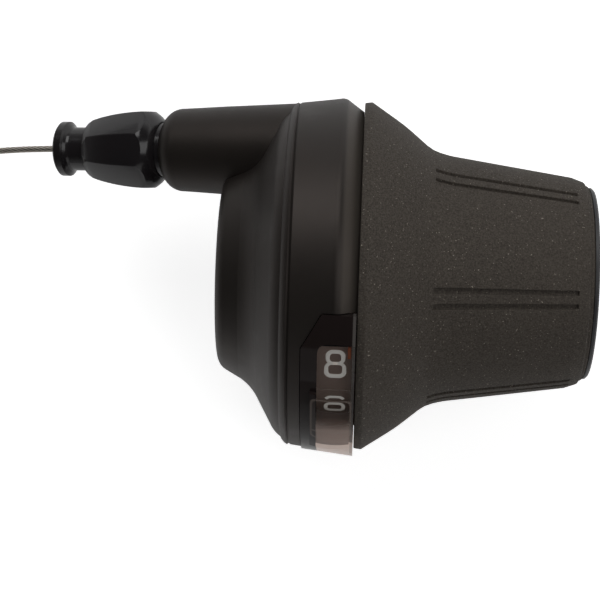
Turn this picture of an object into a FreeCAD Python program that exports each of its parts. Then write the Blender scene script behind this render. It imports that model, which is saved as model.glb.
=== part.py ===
import FreeCAD, Part
import math
import os
import re

import Sketcher
from FreeCAD import Placement, Rotation, Vector

# Twist-grip shifter for a bicycle hub gear, right-hand side of the handlebar.
# The handlebar's axis is X with the rider's hand towards +X, Y points forwards and Z up.
# The origin is on that axis, at the housing's inboard end. Angles round the bar are counted
# from the top towards the rider (from +Z towards -Y). Lengths along the cable adjuster are
# counted outwards from X = 0, on the port's own slanted axis. All sizes are in millimetres.

doc = FreeCAD.newDocument("HubGearShifter")
sheet = doc.addObject("Spreadsheet::Sheet", "Sizes")


class Size:
    """A size with the sheet expression it comes from, so that bindings follow the sheet."""

    def __init__(self, text, value):
        self.text = text
        self.value = float(value)

    def __add__(self, other):
        other = asSize(other)
        return Size("(%s + %s)" % (self.text, other.text), self.value + other.value)

    def __sub__(self, other):
        other = asSize(other)
        return Size("(%s - %s)" % (self.text, other.text), self.value - other.value)

    def __mul__(self, other):
        other = asSize(other)
        return Size("(%s * %s)" % (self.text, other.text), self.value * other.value)

    def __truediv__(self, other):
        other = asSize(other)
        return Size("(%s / %s)" % (self.text, other.text), self.value / other.value)

    def __rsub__(self, other):
        return asSize(other) - self

    def __float__(self):
        return self.value


def asSize(number):
    if isinstance(number, Size):
        return number
    return Size("%.6g" % number, number)


rowsUsed = []


def size(alias, number):
    """Writes one driving dimension into the sheet and returns it."""
    row = len(rowsUsed) + 1
    rowsUsed.append(alias)
    sheet.set("A%d" % row, re.sub("([A-Z])", r" \1", alias).lower())
    sheet.set("B%d" % row, str(number))
    sheet.setAlias("B%d" % row, alias)
    return Size("Sizes." + alias, number)


# ---- driving dimensions ----------------------------------------------------------------

barRadius = size("barRadius", 11.1)
barGap = size("barGap", 0.05)
tubeWall = size("tubeWall", 1.45)
tubeLength = size("tubeLength", 31.8)
slitWidth = size("slitWidth", 2)
runGap = size("runGap", 0.05)          # running fit, on the radius
sideGap = size("sideGap", 0.3)         # between faces that pass each other

bandStart = size("bandStart", 0.75)
bandWidth = size("bandWidth", 5.8)
bandWall = size("bandWall", 1.9)
earWall = size("earWall", 3)
earReach = size("earReach", 21)
clampBoltRadius = size("clampBoltRadius", 2)
clampBoltDrop = size("clampBoltDrop", 17.9)

flangeStart = size("flangeStart", 7)
flangeWall = size("flangeWall", 1.6)
flangeRadius = size("flangeRadius", 20.6)

spoolWidth = size("spoolWidth", 6.4)
rimHeight = size("rimHeight", 1.4)      # spool rim above the wire's middle
wireTrack = size("wireTrack", 15)      # radius at which the wire's middle is wound
wireRadius = size("wireRadius", 0.55)
nippleRadius = size("nippleRadius", 1.4)
nippleLength = size("nippleLength", 4)

clipWall = size("clipWall", 1)
clipRadius = size("clipRadius", 14)
detentReach = size("detentReach", 4.3)  # from the drum down to the detent ring's edge
detentWall = size("detentWall", 1.6)
pinRadius = size("pinRadius", 0.8)
gearAngle = size("gearAngle", 14)      # turn of the grip from one gear to the next
gearCount = size("gearCount", 8)

housingRadius = size("housingRadius", 29.9)
seamStep = size("seamStep", 0.85)       # how much smaller the housing is at its seam
seamPlace = size("seamPlace", 12.5)
faceWall = size("faceWall", 0.65)      # the cover's wall round the bar
footPlace = size("footPlace", 1.3)
footRadius = size("footRadius", 16.75)
coneStart = size("coneStart", 20)
housingEnd = size("housingEnd", 23.4)
mouthStep = size("mouthStep", 2)        # how much smaller it is at its mouth
ringWall = size("ringWall", 2.6)
drumGap = size("drumGap", 0.6)
drumWall = size("drumWall", 1.3)
coverScrewInset = size("coverScrewInset", 5.9)
coverScrewRadius = size("coverScrewRadius", 1.1)

windowStart = size("windowStart", 14.6)
windowEdge = size("windowEdge", 17.25)
windowTop = size("windowTop", 12.5)
windowClearTop = size("windowClearTop", 24)
windowBottom = size("windowBottom", 110)
lensGap = size("lensGap", 0.12)
lensWall = size("lensWall", 1.5)

gripStart = size("gripStart", 24.4)
gripEnd = size("gripEnd", 61.6)
gripFoot = size("gripFoot", 21.1)
gripTip = size("gripTip", 17.6)
coreRadius = size("coreRadius", 15)
lipWidth = size("lipWidth", 0.7)
gripInset = size("gripInset", 0.5)      # of the grip's flange from the housing's outside
grooveWidth = size("grooveWidth", 0.85)
grooveDepth = size("grooveDepth", 0.55)
groovePitch = size("groovePitch", 2.4)
groovePairs = size("groovePairs", 6)

portForward = size("portForward", 20.6)
portHeight = size("portHeight", -0.18)
portTilt = size("portTilt", 15)
portRadius = size("portRadius", 7.1)
portMouth = size("portMouth", 10.6)
guideBend = size("guideBend", 5.5)

knobStart = size("knobStart", 11.5)
knobEnd = size("knobEnd", 24.8)
knobRadius = size("knobRadius", 6.47)
collarInset = size("collarInset", 1.77)
neckInset = size("neckInset", 2.69)
shankInset = size("shankInset", 3.87)
adjusterEnd = size("adjusterEnd", 30.4)
seatStart = size("seatStart", 4.2)
screwStart = size("screwStart", 5.2)
socketRadius = size("socketRadius", 2.6)
screwBore = size("screwBore", 0.95)

doc.recompute()

# ---- sizes that follow from them ---------------------------------------------------------

tubeBore = barRadius + barGap
tubeOuter = tubeBore + tubeWall
turnBore = tubeOuter + runGap          # bore of what turns on the bracket tube
spoolStart = flangeStart + flangeWall + sideGap
spoolEnd = spoolStart + spoolWidth
trackPlace = spoolStart + spoolWidth / 2
spoolRim = wireTrack + rimHeight
clipStart = spoolEnd + 0.8
coreStart = clipStart + clipWall + 0.5
detentStart = spoolEnd + 0.1
seamRadius = housingRadius - seamStep
mouthRadius = housingRadius - mouthStep
ringBore = housingRadius - ringWall
drumRadius = ringBore - drumGap
detentRadius = drumRadius - detentReach
coverScrewPlace = housingRadius - coverScrewInset
gripFlange = housingRadius - gripInset
hubRadius = drumRadius - 0.8
collarRadius = knobRadius - collarInset
neckRadius = knobRadius - neckInset
shankRadius = knobRadius - shankInset
portBore = collarRadius - 0.65
drumWebStart = detentStart + detentWall
drumStart = detentStart + 0.8
hubStart = housingEnd + 0.2
bandBore = tubeOuter + 0.03
bandOuter = bandBore + bandWall
barClearance = barRadius + barGap * 7  # the grip's bore clears the bar
dogAngle = 60.0
coverScrewAngles = (128, 180, 232)     # all on the underside

nodes = {}


# ---- helpers -------------------------------------------------------------------------------

def originPlane(body, role):
    for feature in body.Origin.OriginFeatures:
        if feature.Role == role:
            return feature
    raise ValueError(role)


def newBody(label):
    body = doc.addObject("PartDesign::Body", label)
    body.Label = label
    nodes[label] = body
    return body


def axisTurn(degrees):
    """Turns about the bar axis, top towards the rider."""
    return Rotation(Vector(1, 0, 0), degrees)


def sketchOn(body, name, role="XY_Plane", offset=None):
    sketch = body.newObject("Sketcher::SketchObject", name)
    sketch.AttachmentSupport = (originPlane(body, role), [""])
    sketch.MapMode = "FlatFace"
    if offset is not None:
        sketch.AttachmentOffset = offset
    return sketch


def addEdge(sketch, start, end, bend):
    """A line, or an arc where bend holds (radius, side): +1 curves left of the way, -1 right."""
    if bend is None:
        return sketch.addGeometry(Part.LineSegment(start, end), False), (1, 2)
    radius, side = bend
    chord = end - start
    rise = math.sqrt(max(radius.value ** 2 - (chord.Length / 2) ** 2, 1e-9))
    left = Vector(-chord.y, chord.x, 0).normalize()
    centre = (start + end) * 0.5 + left * (side * rise)
    first, last = (start, end) if side > 0 else (end, start)
    angles = [math.atan2(p.y - centre.y, p.x - centre.x) for p in (first, last)]
    circle = Part.Circle(centre, Vector(0, 0, 1), radius.value)
    index = sketch.addGeometry(Part.ArcOfCircle(circle, angles[0], angles[1]), False)
    return index, ((1, 2) if side > 0 else (2, 1))


def pinPoint(sketch, index, end, place, name):
    """Ties one point's two coordinates to the sheet."""
    for axis, kind, coordinate in ((-2, "DistanceX", place[0]), (-1, "DistanceY", place[1])):
        if coordinate.text == "0":
            sketch.addConstraint(Sketcher.Constraint("PointOnObject", index, end, axis))
            continue
        number = sketch.addConstraint(
            Sketcher.Constraint(kind, -1, 1, index, end, coordinate.value))
        sketch.renameConstraint(number, name + kind[-1])
        sketch.setExpression("Constraints." + name + kind[-1], coordinate.text)


def drawOutline(sketch, points):
    """Closed outline. Each point is (x, y), or (x, y, radius, side) where an arc leaves it."""
    places = [(asSize(p[0]), asSize(p[1])) for p in points]
    bends = [(asSize(p[2]), p[3]) if len(p) == 4 else None for p in points]
    count = len(points)
    edges = []
    for number in range(count):
        start, end = places[number], places[(number + 1) % count]
        edges.append(addEdge(sketch, Vector(start[0].value, start[1].value, 0),
                             Vector(end[0].value, end[1].value, 0), bends[number]))
    for number in range(count):
        index, ends = edges[number]
        after, afterEnds = edges[(number + 1) % count]
        sketch.addConstraint(Sketcher.Constraint("Coincident", index, ends[1], after, afterEnds[0]))
    for number in range(count):
        index, ends = edges[number]
        pinPoint(sketch, index, ends[0], places[number], "p%d" % number)
        if bends[number] is not None:
            row = sketch.addConstraint(
                Sketcher.Constraint("Radius", index, bends[number][0].value))
            sketch.renameConstraint(row, "bend%d" % number)
            sketch.setExpression("Constraints.bend%d" % number, bends[number][0].text)
    return sketch


def drawCircle(sketch, x, y, radius):
    x, y, radius = asSize(x), asSize(y), asSize(radius)
    circle = Part.Circle(Vector(x.value, y.value, 0), Vector(0, 0, 1), radius.value)
    index = sketch.addGeometry(circle, False)
    name = "c%d" % index
    pinPoint(sketch, index, 3, (x, y), name)
    row = sketch.addConstraint(Sketcher.Constraint("Radius", index, radius.value))
    sketch.renameConstraint(row, name + "size")
    sketch.setExpression("Constraints." + name + "size", radius.text)


def turned(body, name, points, cut=False, middle=None, sweep=360, offset=None):
    """Revolves an outline of (along, radius) about the body's X axis.

    A sector is centred on the angle middle and spans sweep."""
    if middle is not None:
        offset = Placement(Vector(0, 0, 0), axisTurn(90 + asSize(middle).value))
    role = "XZ_Plane" if offset is not None and middle is None else "XY_Plane"
    sketch = drawOutline(sketchOn(body, name + "Outline", role, offset), points)
    kind = "PartDesign::Groove" if cut else "PartDesign::Revolution"
    feature = body.newObject(kind, name)
    feature.Profile = sketch
    feature.ReferenceAxis = (sketch, ["H_Axis"])
    feature.Angle = asSize(sweep).value
    if isinstance(sweep, Size):
        feature.setExpression("Angle", sweep.text)
    if middle is not None:
        feature.Midplane = True
    body.Tip = feature
    return feature


def extruded(body, name, sketch, length, cut=False, both=False, reverse=False):
    feature = body.newObject("PartDesign::Pocket" if cut else "PartDesign::Pad", name)
    feature.Profile = sketch
    length = asSize(length)
    feature.Length = length.value
    if not length.text[0].isdigit():
        feature.setExpression("Length", length.text)
    if both:
        feature.SideType = "Symmetric"
    feature.Reversed = reverse
    body.Tip = feature
    return feature


def facing(along):
    """A sketch frame square to X, at one place along it: sketch x is +Y, sketch y is +Z."""
    return Placement(Vector(0, 0, asSize(along).value), Rotation())


def ringed(body, name, features, count, sweep=360):
    """Repeats features round the bar axis."""
    pattern = body.newObject("PartDesign::PolarPattern", name)
    pattern.Originals = features
    pattern.Axis = (originPlane(body, "X_Axis"), [""])
    pattern.Angle = sweep
    pattern.Occurrences = int(round(asSize(count).value))
    body.Tip = pattern
    return pattern


portTurn = Rotation(Vector(0, 1, 0), 180 - portTilt.value)
portPlace = Placement(Vector(0, portForward.value, portHeight.value), portTurn)


def placeOnPort(body):
    """Moves a piece drawn along X to the port's slanted axis."""
    body.Placement = portPlace
    body.setExpression(".Placement.Base.y", portForward.text)
    body.setExpression(".Placement.Base.z", portHeight.text)


def portPoint(along):
    return portPlace.multVec(Vector(float(along), 0, 0))


def aroundBar(along, radius, degrees):
    turn = math.radians(degrees)
    return Vector(along, -radius * math.sin(turn), radius * math.cos(turn))


def atAngle(radius, degrees):
    """Sketch coordinates, square to the bar, of a place at a radius and an angle."""
    turn = math.radians(degrees)
    return radius * -math.sin(turn), radius * math.cos(turn)


def tubeAlong(path, radius):
    """A round bar swept along a path of straight and arc edges."""
    wire = Part.Wire(path)
    first = path[0]
    start = first.valueAt(first.FirstParameter)
    way = first.tangentAt(first.FirstParameter)
    ring = Part.Wire([Part.Edge(Part.Circle(start, way, radius))])
    return wire.makePipeShell([ring], True, True)


def roundedPath(points, radii):
    """Straight runs joined by tangent arcs, one arc for each inner point."""
    edges = []
    last = points[0]
    for number in range(1, len(points) - 1):
        before = (points[number - 1] - points[number]).normalize()
        after = (points[number + 1] - points[number]).normalize()
        half = math.acos(max(-1, min(1, -before.dot(after)))) / 2
        reach = radii[number - 1] * math.tan(half)
        start = points[number] + before * reach
        end = points[number] + after * reach
        inward = (before + after).normalize()
        middle = points[number] + inward * (radii[number - 1] * (1 / math.cos(half) - 1))
        if (start - last).Length > 1e-6:
            edges.append(Part.LineSegment(last, start).toShape())
        edges.append(Part.Arc(start, middle, end).toShape())
        last = end
    edges.append(Part.LineSegment(last, points[-1]).toShape())
    return edges


def bendRadii(points):
    """Arc radii that take up nearly all of the straight runs beside each inner point."""
    radii = []
    for before, middle, after in zip(points, points[1:], points[2:]):
        first, second = before - middle, after - middle
        turn = math.pi - first.getAngle(second)
        radii.append(0.45 * min(first.Length, second.Length) / math.tan(turn / 2))
    return radii


def shaped(label, shape, place=Placement()):
    """A node whose shape is worked out here from the sheet's values."""
    feature = doc.addObject("Part::Feature", label)
    feature.Label = label
    feature.Shape = shape
    feature.Placement = place
    nodes[label] = feature
    return feature


# ---- bracket tube and handlebar clamp ------------------------------------------------------

def makeBracketTube():
    body = newBody("bracket_tube")
    turned(body, "Barrel", [
        (0, tubeBore), (tubeLength, tubeBore), (tubeLength, tubeOuter),
        (flangeStart + flangeWall, tubeOuter), (flangeStart + flangeWall, flangeRadius),
        (flangeStart, flangeRadius), (flangeStart, tubeOuter), (0, tubeOuter)])
    turned(body, "ClipGroove", [
        (clipStart, tubeOuter - 0.6), (clipStart + clipWall + 0.1, tubeOuter - 0.6),
        (clipStart + clipWall + 0.1, tubeOuter + 1), (clipStart, tubeOuter + 1)], cut=True)
    slit = sketchOn(body, "SlitOutline", "XZ_Plane")
    drawOutline(slit, [(0, 0 - tubeOuter - 1), (flangeStart - 0.6, 0 - tubeOuter - 1),
                       (flangeStart - 0.6, 0 - tubeBore + 2), (0, 0 - tubeBore + 2)])
    extruded(body, "Slit", slit, slitWidth, cut=True, both=True)
    turned(body, "WirePassage", [
        (0 - spoolEnd, 0), (0 - flangeStart + 2, 0), (0 - flangeStart + 2, wireRadius + 0.45),
        (0 - spoolEnd, wireRadius + 0.45)], cut=True, offset=portSketchFrame())


def portSketchFrame():
    """Sketch frame in the upright plane through the port's axis, with sketch x along it."""
    return Placement(Vector(0, portHeight.value, -portForward.value),
                     Rotation(Vector(0, 0, 1), 180 + portTilt.value))


def makeClamp():
    band = newBody("clamp_band")
    turned(band, "Band", [
        (bandStart, bandBore), (bandStart + bandWidth, bandBore),
        (bandStart + bandWidth, bandOuter), (bandStart, bandOuter)])
    for side, name in ((1, "Front"), (-1, "Rear")):
        ear = sketchOn(band, name + "EarOutline", "YZ_Plane", facing(bandStart))
        inner = slitWidth / 2
        outer = slitWidth / 2 + earWall
        ends = [(inner, outer), (0 - outer, 0 - inner)][side < 0]
        drawOutline(ear, [(ends[0], 0 - earReach), (ends[1], 0 - earReach),
                          (ends[1], 0 - bandBore - 0.6), (ends[0], 0 - bandBore - 0.6)])
        extruded(band, name + "Ear", ear, bandWidth)
    gap = sketchOn(band, "GapOutline", "YZ_Plane", facing(bandStart - 1))
    drawOutline(gap, [(0 - slitWidth / 2, 0 - earReach - 1), (slitWidth / 2, 0 - earReach - 1),
                      (slitWidth / 2, 0 - bandBore + 2), (0 - slitWidth / 2, 0 - bandBore + 2)])
    extruded(band, "Gap", gap, bandWidth + 2, cut=True, reverse=True)
    hole = sketchOn(band, "BoltHoleOutline", "XZ_Plane")
    drawCircle(hole, bandStart + bandWidth / 2, 0 - clampBoltDrop, clampBoltRadius + 0.1)
    extruded(band, "BoltHole", hole, 40, cut=True, both=True)

    earFace = slitWidth / 2 + earWall
    bolt = newBody("clamp_bolt")
    headRadius = clampBoltRadius * 1.6
    turned(bolt, "Shank", [
        (0, 0), (earFace * 2 + 3.4, 0), (earFace * 2 + 3.4, clampBoltRadius),
        (0, clampBoltRadius), (0, headRadius), (0 - clampBoltRadius * 2, headRadius),
        (0 - clampBoltRadius * 2, 0)])
    cutHexSocket(bolt, 0 - clampBoltRadius * 2, clampBoltRadius * 0.85, clampBoltRadius)
    placeAcross(bolt, earFace, Rotation(Vector(0, 0, 1), -90))

    nut = newBody("clamp_nut")
    hexPrism(nut, "Nut", clampBoltRadius * 1.6, 3.2)
    bore = drawHole(nut, "NutBoreOutline", clampBoltRadius + 0.03, -1)
    extruded(nut, "NutBore", bore, 6, cut=True, reverse=True)
    placeAcross(nut, 0 - earFace, Rotation(Vector(0, 0, 1), -90))


def placeAcross(body, forward, turn):
    """Puts a fastener on the clamp bolt's axis, which runs fore and aft under the bar."""
    along = bandStart + bandWidth / 2
    body.Placement = Placement(Vector(along.value, forward.value, -clampBoltDrop.value), turn)
    body.setExpression(".Placement.Base.x", along.text)
    body.setExpression(".Placement.Base.y", forward.text)
    body.setExpression(".Placement.Base.z", (0 - clampBoltDrop).text)


def drawHole(body, name, radius, along=0):
    sketch = sketchOn(body, name, "YZ_Plane", facing(along))
    drawCircle(sketch, 0, 0, radius)
    return sketch


def hexOutline(sketch, across):
    """A hexagon about the sketch's origin, across being half the distance between flats."""
    corner = asSize(across) * 1.1547
    half = corner / 2
    flat = asSize(across)
    return drawOutline(sketch, [(flat, 0 - half), (flat, half), (0, corner), (0 - flat, half),
                                (0 - flat, 0 - half), (0, 0 - corner)])


def hexPrism(body, name, across, length):
    sketch = hexOutline(sketchOn(body, name + "Outline", "YZ_Plane"), across)
    return extruded(body, name, sketch, length)


def cutHexSocket(body, face, across, depth):
    sketch = hexOutline(sketchOn(body, "SocketOutline", "YZ_Plane", facing(face)), across)
    extruded(body, "Socket", sketch, depth, cut=True, reverse=True)


# ---- spool, thrust washer, clip and wire nipple --------------------------------------------

def makeSpool():
    body = newBody("spool")
    grooveBottom = wireTrack - wireRadius
    groove = wireRadius + 0.2
    turned(body, "Reel", [
        (spoolStart, turnBore), (spoolEnd, turnBore), (spoolEnd, spoolRim),
        (trackPlace + groove + 0.4, spoolRim), (trackPlace + groove, grooveBottom),
        (trackPlace - groove, grooveBottom), (trackPlace - groove - 0.4, spoolRim),
        (spoolStart, spoolRim)])
    pocket = sketchOn(body, "NipplePocketOutline", "XZ_Plane")
    reach = nippleRadius + 0.1
    drawOutline(pocket, [
        (trackPlace - reach, wireTrack - reach), (trackPlace + reach, wireTrack - reach),
        (trackPlace + reach, spoolRim + 1), (trackPlace - reach, spoolRim + 1)])
    extruded(body, "NipplePocket", pocket, nippleLength + 0.2, cut=True, both=True)
    slot = turned(body, "DogSlot", [
        (spoolEnd - 1.7, wireTrack - 0.5), (spoolEnd + 1, wireTrack - 0.5),
        (spoolEnd + 1, spoolRim + 1), (spoolEnd - 1.7, spoolRim + 1)],
        cut=True, middle=dogAngle, sweep=34)
    ringed(body, "DogSlots", [slot], 3)

    nipple = newBody("wire_nipple")
    turned(nipple, "Slug", [(0, 0), (nippleLength, 0), (nippleLength, nippleRadius),
                            (0, nippleRadius)])
    nipple.Placement = Placement(
        Vector(trackPlace.value, nippleLength.value / 2, wireTrack.value),
        Rotation(Vector(0, 0, 1), -90))
    nipple.setExpression(".Placement.Base.x", trackPlace.text)
    nipple.setExpression(".Placement.Base.y", (nippleLength / 2).text)
    nipple.setExpression(".Placement.Base.z", wireTrack.text)

    washer = newBody("thrust_washer")
    turned(washer, "Disc", [
        (spoolEnd + 0.1, turnBore), (clipStart, turnBore), (clipStart, clipRadius),
        (spoolEnd + 0.1, clipRadius)])

    clip = newBody("retaining_clip")
    turned(clip, "Ring", [
        (clipStart, tubeOuter - 0.55), (clipStart + clipWall, tubeOuter - 0.55),
        (clipStart + clipWall, clipRadius), (clipStart, clipRadius)], middle=180, sweep=318)


# ---- detent ring, spring and pin -----------------------------------------------------------

notchPlace = detentRadius + 0.5
detentAngle = 156.0                    # where the spring's bump sits at rest
springSweep = 50.0                     # how far round the bar the spring's strip reaches

# makeCylinder starts its sector on a reference direction square to its axis
probe = Part.makeCylinder(1, 1, Vector(), Vector(1, 0, 0), 1).CenterOfMass
sectorStart = -math.degrees(math.atan2(-probe.y, probe.z))


def makeDetent():
    body = newBody("detent_ring")
    turned(body, "Disc", [
        (detentStart, spoolRim + 0.02), (detentStart + detentWall, spoolRim + 0.02),
        (detentStart + detentWall, detentRadius), (detentStart, detentRadius)])
    sketch = sketchOn(body, "NotchOutline", "YZ_Plane", facing(detentStart - 1))
    drawCircle(sketch, *atAngle(notchPlace, detentAngle), 1.25)
    notch = extruded(body, "Notch", sketch, detentWall + 2, cut=True, reverse=True)
    pattern = ringed(body, "Notches", [notch], gearCount)
    pattern.Angle = gearAngle.value * (gearCount.value - 1)
    pattern.Reversed = True

    strip = 0.4
    inner = notchPlace.value + 0.7
    width = (detentWall - sideGap).value
    start = aroundBar(detentStart.value, 0, 0)
    along = Vector(1, 0, 0)
    spot = aroundBar(detentStart.value, notchPlace.value, detentAngle)
    bump = Part.makeCylinder(1.0, width, spot, along)
    band = Part.makeCylinder(inner + strip, width, start, along, springSweep)
    band = band.cut(Part.makeCylinder(inner, width, start, along))
    band.rotate(Vector(0, 0, 0), along, sectorStart + detentAngle)
    eye = Part.makeCylinder(pinRadius.value + 0.5, width, springEye(), along)
    hole = Part.makeCylinder(pinRadius.value + 0.03, width, springEye(), along)
    shaped("detent_spring", band.fuse(bump).fuse(eye).cut(hole).removeSplitter())

    pin = newBody("spring_pin")
    length = detentStart + detentWall - sideGap - seamPlace - 0.8
    turned(pin, "Pin", [(0, 0), (length, 0), (length, pinRadius), (0, pinRadius)])
    eyeSpot = springEye()
    along = seamPlace + 0.8
    pin.Placement = Placement(Vector(along.value, eyeSpot.y, eyeSpot.z), Rotation())
    pin.setExpression(".Placement.Base.x", along.text)


def springEye():
    return aroundBar(detentStart.value, notchPlace.value + 0.95, detentAngle + springSweep)


# ---- number drum, grip core and rubber grip --------------------------------------------------

def makeDrum():
    body = newBody("number_drum")
    drumInner = drumRadius - drumWall
    turned(body, "Drum", [
        (drumStart, drumInner), (drumWebStart, drumInner), (drumWebStart, spoolRim + 0.02),
        (drumWebStart + 1.4, spoolRim + 0.02), (drumWebStart + 1.4, drumInner),
        (housingEnd - 0.1, drumInner), (housingEnd - 0.1, drumRadius), (drumStart, drumRadius)])


def makeGripTube():
    body = newBody("grip_tube")
    step = tubeLength + sideGap
    neck = spoolRim
    turned(body, "Core", [
        (coreStart, turnBore), (step, turnBore), (step, barClearance),
        (gripEnd + lipWidth, barClearance), (gripEnd + lipWidth, coreRadius + 0.9),
        (gripEnd + lipWidth - 0.3, coreRadius + 1.2), (gripEnd, coreRadius + 1.2),
        (gripEnd, coreRadius), (gripStart + 1.6, coreRadius),
        (gripStart + 1.6, gripFlange - 1.2), (gripStart, gripFlange - 1.2),
        (gripStart, hubRadius), (hubStart, hubRadius), (hubStart, neck), (coreStart, neck)])
    dog = turned(body, "Dog", [
        (spoolEnd - 1.6, wireTrack - 0.4), (coreStart + 1, wireTrack - 0.4),
        (coreStart + 1, neck), (spoolEnd - 1.6, neck)], middle=dogAngle, sweep=32)
    ringed(body, "Dogs", [dog], 3)


def gripOutline():
    """Outer line of the rubber from the flange's edge to its outboard end."""
    cone = gripStart + 11.2
    return [(gripStart, gripFlange - 0.3), (gripStart + 0.9, gripFlange),
            (cone, gripFoot + 0.25, 5, 1), (cone + 2.6, gripFoot - 0.25),
            (gripEnd - 1.7, gripTip, 2, -1), (gripEnd, gripTip - 1.3)]


def makeGripRubber():
    body = newBody("grip_rubber")
    skin = 0.05
    turned(body, "Sleeve", gripOutline() + [
        (gripEnd, coreRadius + skin), (gripStart + 1.6 + skin, coreRadius + skin),
        (gripStart + 1.6 + skin, gripFlange - 1.2 + skin), (gripStart, gripFlange - 1.2 + skin)])
    start = gripStart + 12.6
    end = gripEnd - 3
    slope = (gripFoot - 0.25 - gripTip) / (gripEnd - 1.7 - gripStart - 13.8)
    startRadius = gripFoot - 0.25 + slope * (gripStart + 13.8 - start) - grooveDepth
    endRadius = gripTip + slope * (gripEnd - 1.7 - end) - grooveDepth
    grooves = []
    for side in (-0.5, 0.5):
        turn = axisTurn(90 + 9.6)
        shift = turn.multVec(Vector(0, 0, side * groovePitch.value))
        name = "Groove%s" % ("Upper" if side < 0 else "Lower")
        sketch = sketchOn(body, name + "Outline", "XY_Plane", Placement(shift, turn))
        drawOutline(sketch, [(start, startRadius), (end, endRadius), (end + 2, endRadius + 2.6),
                             (start - 1.6, startRadius + 2.6)])
        grooves.append(extruded(body, name, sketch, grooveWidth, cut=True, both=True))
    ringed(body, "GroovePairs", grooves, groovePairs)


# ---- housing ring, window and pointer --------------------------------------------------------

windowMiddle = (windowTop + windowBottom) / 2
windowSweep = windowBottom - windowTop
cornerRise = 11.5                      # how far round the bar the slanted corner reaches
cornerRun = 3.3                        # how far along the bar it reaches
lensScrewAngle = 105.0
lensScrewAlong = windowStart + 1.45


def cornerSketch(body, name, grow, filled):
    """Triangle that the slanted corner of the window leaves, seen square to its surface."""
    middle = windowTop.value + cornerRise / 2
    sketch = sketchOn(body, name, "XY_Plane", Placement(Vector(), axisTurn(middle)))
    rise = (housingRadius + 0.4) * (math.sin(math.radians(cornerRise / 2)))
    left = windowStart + (0 if filled else -2)
    top = rise + (0 if filled else 2)
    if filled:
        points = [(left, 0 - rise), (windowStart + cornerRun, 0 - rise),
                  (windowStart + cornerRun, rise)]
    else:
        points = [(left, 0 - rise + grow), (windowStart, 0 - rise + grow),
                  (windowStart + cornerRun, rise + grow), (windowStart + cornerRun, top + grow),
                  (left, top + grow)]
    return drawOutline(sketch, points)


def makeRing():
    body = newBody("housing_ring")
    turned(body, "Shell", [
        (seamPlace, ringBore), (housingEnd, ringBore), (housingEnd, mouthRadius - 0.2),
        (housingEnd - 0.2, mouthRadius), (coneStart + 0.9, housingRadius - 0.35, 1.6, 1),
        (coneStart - 0.6, housingRadius), (seamPlace + 0.3, seamRadius),
        (seamPlace, seamRadius - 0.25)])
    for number, angle in enumerate(coverScrewAngles):
        sketch = sketchOn(body, "BossOutline%d" % number, "YZ_Plane", facing(seamPlace))
        drawCircle(sketch, *atAngle(coverScrewPlace, angle), 3.6)
        extruded(body, "Boss%d" % number, sketch, 2.5)
        hole = sketchOn(body, "ScrewHoleOutline%d" % number, "YZ_Plane", facing(seamPlace - 1))
        drawCircle(hole, *atAngle(coverScrewPlace, angle), coverScrewRadius + 0.02)
        extruded(body, "ScrewHole%d" % number, hole, 10, cut=True, reverse=True)
    springBoss = sketchOn(body, "SpringBossOutline", "YZ_Plane", facing(seamPlace))
    eyeSpot = springEye()
    drawCircle(springBoss, eyeSpot.y, eyeSpot.z, 2.0)
    extruded(body, "SpringBoss", springBoss, detentStart - seamPlace - 0.05)
    turned(body, "SpringWeb", [
        (seamPlace, notchPlace + 0.6), (detentStart - 0.05, notchPlace + 0.6),
        (detentStart - 0.05, ringBore + 0.5), (seamPlace, ringBore + 0.5)],
        middle=detentAngle + springSweep, sweep=8)
    pinHole = sketchOn(body, "PinHoleOutline", "YZ_Plane", facing(seamPlace + 0.78))
    drawCircle(pinHole, eyeSpot.y, eyeSpot.z, pinRadius + 0.02)
    extruded(body, "PinHole", pinHole, 10, cut=True, reverse=True)
    outside = housingRadius + 5
    inside = ringBore - 2
    right = housingEnd + 2
    turned(body, "WindowUpper", [
        (windowStart + cornerRun, inside), (right, inside), (right, outside),
        (windowStart + cornerRun, outside)], cut=True,
        middle=windowTop + cornerRise / 2, sweep=cornerRise + 0.02)
    turned(body, "WindowLower", [
        (windowStart, inside), (right, inside), (right, outside), (windowStart, outside)],
        cut=True, middle=(windowTop + cornerRise + windowBottom) / 2,
        sweep=windowBottom - windowTop - cornerRise)
    corner = cornerSketch(body, "WindowCornerOutline", 0, True)
    extruded(body, "WindowCorner", corner, 100, cut=True, reverse=True)


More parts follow.
